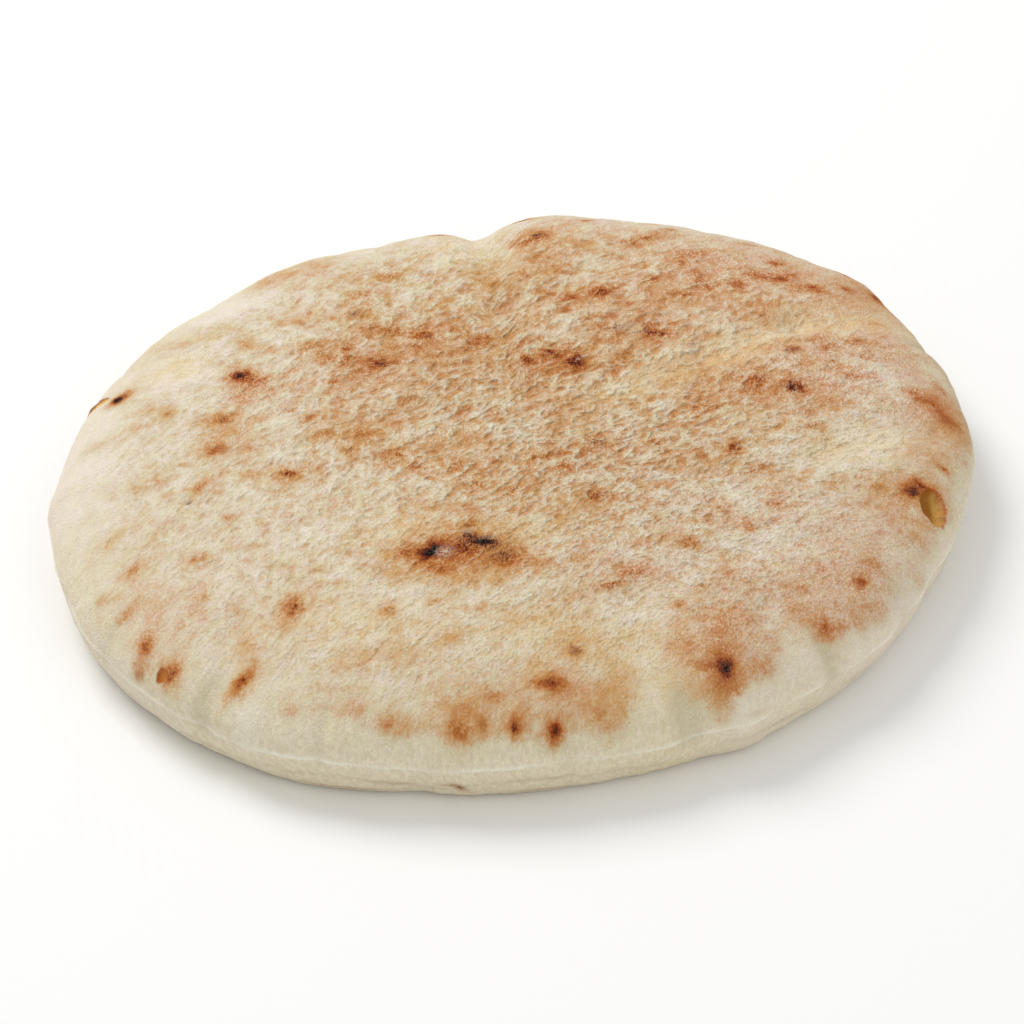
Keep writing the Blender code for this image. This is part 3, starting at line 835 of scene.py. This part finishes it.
def crust_material():
    material = bpy.data.materials.new("crust")
    n = Nodes(material)
    zones, spots, rim = n.parts("toast")
    yellow, blush, seam_line = n.parts("tint")
    inside, burnt, pinhole_shade = n.parts("hollow")
    dent, crease, fleck = n.parts("rimming")
    grain = n.attribute("grain")
    skin = n.attribute("skin")
    groove = n.attribute("groove")
    crest, strength, shoulder = n.parts("relief")

    patches = n.noise(n.stretch(grain, 11.0, 9.0), 2.0)
    mottle = n.noise(n.stretch(grain, 4.3, 3.5), 2.0)
    blots = n.noise(n.stretch(skin, 2.6, 3.8), 1.0, 0.4)
    grains = n.noise(n.stretch(skin, 1.05, 1.6), 2.0, 0.55)
    dust = n.noise(n.stretch(skin, 0.42, 0.66), 1.0, 0.6)
    sugar = n.noise(n.stretch(skin, 0.46, 0.56), 1.0, 0.5)
    haze = n.noise(n.stretch(skin, 8.0, 8.0), 3.0, 0.6)
    sunny = n.noise(n.stretch(skin, 13.0, 13.0, 0.1), 2.0, 0.5)
    grooves = n.noise(n.stretch(groove, 1.1, 1.1), 2.0, 0.5, "3D")
    tiny_folds = n.ridges(n.stretch(grain, 2.1, 1.5), 0.07)
    small_folds = n.ridges(n.stretch(grain, 4.6, 2.6), 0.06)
    breaks = n.span(n.noise(n.stretch(skin, 5.5, 7.0), 1.0, 0.5), 0.42, 0.62)
    large_folds = n.times(n.ridges(n.stretch(grain, 9.0, 4.0), 0.05), breaks)

    texture = n.span(strength, 0.36, 0.90, 0.35, 1.0)
    level = n.scaled(n.swing(patches), 0.33, zones)
    mottled = n.times(n.swing(mottle), n.scaled(texture, 0.13, 0.20))
    level = n.plus(level, mottled)
    sparse = n.times(n.span(blots, 0.53, 0.72), n.span(level, 0.14, 0.44, 0.0, 0.17))
    level = n.scaled(sparse, texture, n.minus(level, 0.04))
    crisp = n.times(n.swing(dust), n.span(strength, 0.30, 0.85, 0.30, 0.62))
    fine = n.times(n.swing(grains), n.scaled(texture, 0.44, 0.20))
    fine = n.plus(crisp, fine)
    fine = n.times(fine, n.scaled(n.larger(level, 0.0), 0.8, 0.42))
    # Paler toast on the fold crests and browner toast in their valleys: partly the real browning in the
    # valleys, partly painted shade in the valleys and painted highlight on the crests.
    fold_shade_and_toast = n.times(n.minus(small_folds, 0.66), 0.18)
    fold_shade_and_toast = n.scaled(n.minus(tiny_folds, 0.66), 0.16, fold_shade_and_toast)
    fold_shade_and_toast = n.scaled(n.minus(large_folds, 0.36), 0.10, fold_shade_and_toast)
    fold_shade_and_toast = n.scaled(n.swing(crest), 0.12, fold_shade_and_toast)
    fine = n.minus(fine, n.times(fold_shade_and_toast, strength))
    streaks = n.times(n.swing(grooves), shoulder)
    fine = n.scaled(streaks, 0.14, fine)
    level = n.plus(level, fine)
    level = n.larger(n.smaller(level, n.scaled(level, 0.45, 0.275)), 0.0)
    level = n.smaller(level, 0.66)
    left = n.minus(1.0, level)
    ragged = n.times(n.span(grains, 0.32, 0.64, 0.78, 1.16), n.span(dust, 0.34, 0.64, 0.62, 1.16))
    ragged = n.scaled(n.minus(ragged, 0.95), texture, 0.95)
    solid = n.span(spots, 0.90, 1.0)
    ragged = n.scaled(n.minus(1.04, ragged), solid, ragged)
    ragged = n.times(ragged, spots)
    level = n.scaled(left, ragged, level)

    ramp = n.add("ShaderNodeValToRGB", {"Fac": level})
    stops = ramp.color_ramp.elements
    for place, _ in TOAST_COLOURS[1:-1]:
        stops.new(place)
    for stop, (place, colour) in zip(stops, TOAST_COLOURS):
        stop.position = place
        stop.color = paint(*colour)
    colour = ramp.outputs["Color"]

    mild = n.span(level, 0.75, 0.95, 1.0, 0.0)
    tints = n.span(n.noise(n.stretch(grain, 4.6, 3.2), 2.0, 0.6), 0.30, 0.70)
    drift = n.mix(tints, (1.01, 0.965, 1.01, 1.0), (1.0, 1.01, 0.95, 1.0))
    colour = n.mix(mild, colour, drift, "MULTIPLY")
    gold = n.times(n.times(yellow, mild), n.span(mottle, 0.3, 0.7, 0.35, 0.85))
    colour = n.mix(gold, colour, paint(226, 200, 146))
    amber = n.times(n.span(sunny, 0.44, 0.62), n.minus(1.0, blush, clamp=True))
    amber = n.times(amber, n.span(level, 0.15, 0.50, 0.0, 0.30))
    colour = n.mix(n.times(amber, mild), colour, paint(206, 166, 106))
    rosy = n.times(n.times(blush, n.span(haze, 0.30, 0.58, 0.25, 1.0)), mild)
    rosy = n.times(rosy, n.span(level, 0.08, 0.40, 0.15, 0.80))
    colour = n.mix(rosy, colour, (1.0, 0.90, 0.96, 1.0), "MULTIPLY")
    flour = n.times(n.span(sugar, 0.50, 0.70), n.scaled(blush, 0.50, 0.06))
    flour = n.times(flour, n.span(level, 0.45, 0.75, 1.0, 0.15))
    colour = n.mix(flour, colour, paint(230, 218, 204))
    # Painted highlight: a pale cream along the fold crests, where the light catches them.
    painted_crest_highlight = n.larger(n.span(crest, 0.55, 0.95), n.span(large_folds, 0.80, 1.0))
    painted_crest_highlight = n.times(n.times(painted_crest_highlight, strength), 0.34)
    painted_crest_highlight = n.times(painted_crest_highlight, mild)
    colour = n.mix(painted_crest_highlight, colour, paint(224, 216, 186))
    bare = n.times(rim, n.span(level, 0.20, 0.45, 0.65, 0.0))
    bare = n.times(bare, n.scaled(blush, -0.85, 1.0, clamp=True))
    dough = n.mix(n.span(grains, 0.3, 0.7), paint(210, 199, 164), paint(229, 220, 190))
    colour = n.mix(bare, colour, dough)
    colour = n.mix(n.times(seam_line, 0.75), colour, paint(242, 239, 222))
    plain = n.span(level, 0.30, 0.60, 1.0, 0.0)
    # Painted shade: darker where the rim's dents sink in.
    painted_dent_shade = n.times(n.span(dent, 0.0, 1.0, 0.0, 0.40), plain)
    colour = n.mix(painted_dent_shade, colour, paint(188, 178, 148))
    # Painted light: lighter where the rim's folds stand out.
    painted_swell_light = n.times(n.span(dent, -0.5, 0.0, 0.45, 0.0), plain)
    colour = n.mix(painted_swell_light, colour, paint(230, 225, 206))
    # Painted shade: a greyish brown along the sunken crease under the seam.
    colour = n.mix(n.times(crease, 0.38), colour, paint(172, 148, 110))
    colour = n.mix(n.times(fleck, n.span(grains, 0.35, 0.6, 0.5, 1.0)), colour, paint(150, 92, 48))
    speck = n.noise(n.stretch(skin, 0.36, 0.58), 1.0, 0.6)
    sparkle = n.scaled(strength, 0.07, 0.06)
    sparkle = n.scaled(n.swing(speck), n.times(sparkle, 3.2), 1.0)
    colour = n.mix(1.0, colour, sparkle, "MULTIPLY")
    ash = n.times(n.span(dust, 0.56, 0.68), n.span(level, 0.88, 0.99, 0.0, 0.10))
    ash_patches = n.times(n.parts("ash")[0], n.span(dust, 0.42, 0.56))
    ash = n.larger(ash, n.times(ash_patches, 0.8))
    colour = n.mix(ash, colour, paint(206, 192, 172))
    crumb = n.mix(n.span(mottle, 0.35, 0.65, 0.0, 0.16), n.attribute("crumb"), paint(222, 178, 96))
    colour = n.mix(inside, colour, crumb)
    colour = n.mix(n.times(burnt, 0.9, clamp=True), colour, n.attribute("scorch"))
    # Painted shade: near-black brown inside the pinholes.
    colour = n.mix(n.times(pinhole_shade, 0.95, clamp=True), colour, paint(60, 22, 10))

    pores = n.noise(n.stretch(skin, 0.55, 0.55), 2.0, 0.6)
    knobs = n.noise(n.stretch(grain, 1.5, 1.1), 1.0, 0.4)
    bumps = n.times(n.swing(knobs), 0.44)
    bumps = n.scaled(large_folds, 0.34, bumps)
    bumps = n.scaled(small_folds, 0.31, bumps)
    bumps = n.scaled(tiny_folds, 0.28, bumps)
    bumps = n.scaled(n.swing(mottle), 0.10, bumps)
    bumps = n.scaled(n.swing(blots), 0.20, bumps)
    bumps = n.times(bumps, strength)
    calm = n.scaled(rim, -0.5, 1.0)
    bumps = n.times(bumps, calm)
    bumps = n.scaled(n.swing(pores), 0.26, bumps)
    lined = n.times(streaks, 0.26)
    bumps = n.plus(bumps, lined)
    bump = n.add("ShaderNodeBump", {"Height": bumps, "Strength": 1.0, "Distance": MM})

    dryness = n.scaled(n.swing(grains), 0.18, 0.80)
    dryness = n.scaled(inside, -0.20, dryness)
    shader = n.add("ShaderNodeBsdfPrincipled", {
        "Base Color": colour, "Roughness": dryness, "Normal": bump.outputs["Normal"],
        "Specular IOR Level": 0.06, "IOR": 1.45, "Metallic": 0.0})
    n.add("ShaderNodeOutputMaterial", {"Surface": shader.outputs[0]})
    return material


# ---- Studio --------------------------------------------------------------------------------

def aim(thing, target):
    direction = Vector(target) - thing.location
    thing.rotation_euler = direction.to_track_quat("-Z", "Y").to_euler()


def soft_light(name, place, target, side, power, colour):
    lamp = bpy.data.lights.new(name, "AREA")
    lamp.shape = "DISK"
    lamp.size = side
    lamp.energy = power
    lamp.color = colour
    holder = bpy.data.objects.new(name, lamp)
    holder.location = place
    aim(holder, target)
    bpy.context.scene.collection.objects.link(holder)


def studio():
    material = bpy.data.materials.new("studio_floor")
    n = Nodes(material)
    shader = n.add("ShaderNodeBsdfPrincipled", {"Base Color": (0.93, 0.93, 0.925, 1.0),
                                                "Roughness": 0.9, "Specular IOR Level": 0.1})
    n.add("ShaderNodeOutputMaterial", {"Surface": shader.outputs[0]})
    mesh = bpy.data.meshes.new("studio_floor")
    corners = [(x * FLOOR_REACH, y * FLOOR_REACH, 0.0) for x, y in ((-1, -1), (1, -1), (1, 1), (-1, 1))]
    mesh.from_pydata(corners, [], [(0, 1, 2, 3)])
    mesh.materials.append(material)
    floor = bpy.data.objects.new("studio_floor", mesh)
    bpy.context.scene.collection.objects.link(floor)

    world = bpy.data.worlds.new("studio")
    world.use_nodes = True
    background = world.node_tree.nodes["Background"]
    background.inputs["Color"].default_value = (*WHITE, 1.0)
    background.inputs["Strength"].default_value = AMBIENT
    bpy.context.scene.world = world
    soft_light("key", KEY_PLACE, LIGHT_TARGET, 0.9, KEY_POWER, WHITE)
    soft_light("fill", FILL_PLACE, LIGHT_TARGET, 1.2, FILL_POWER, WARM_WHITE)
    bpy.context.scene.view_settings.view_transform = "Standard"


def camera():
    data = bpy.data.cameras.new("camera")
    data.lens = LENS
    data.sensor_width = SENSOR
    data.clip_start = 0.01
    view = bpy.data.objects.new("camera", data)
    lift = math.radians(LIFT)
    view.location = Vector(TARGET) + DISTANCE * Vector((0.0, -math.cos(lift), math.sin(lift)))
    aim(view, TARGET)
    bpy.context.scene.collection.objects.link(view)
    bpy.context.scene.camera = view


crust = build_crust()
crust.data.materials.append(crust_material())
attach(crust, "root")
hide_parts("bread")
studio()
camera()

bpy.context.view_layer.update()
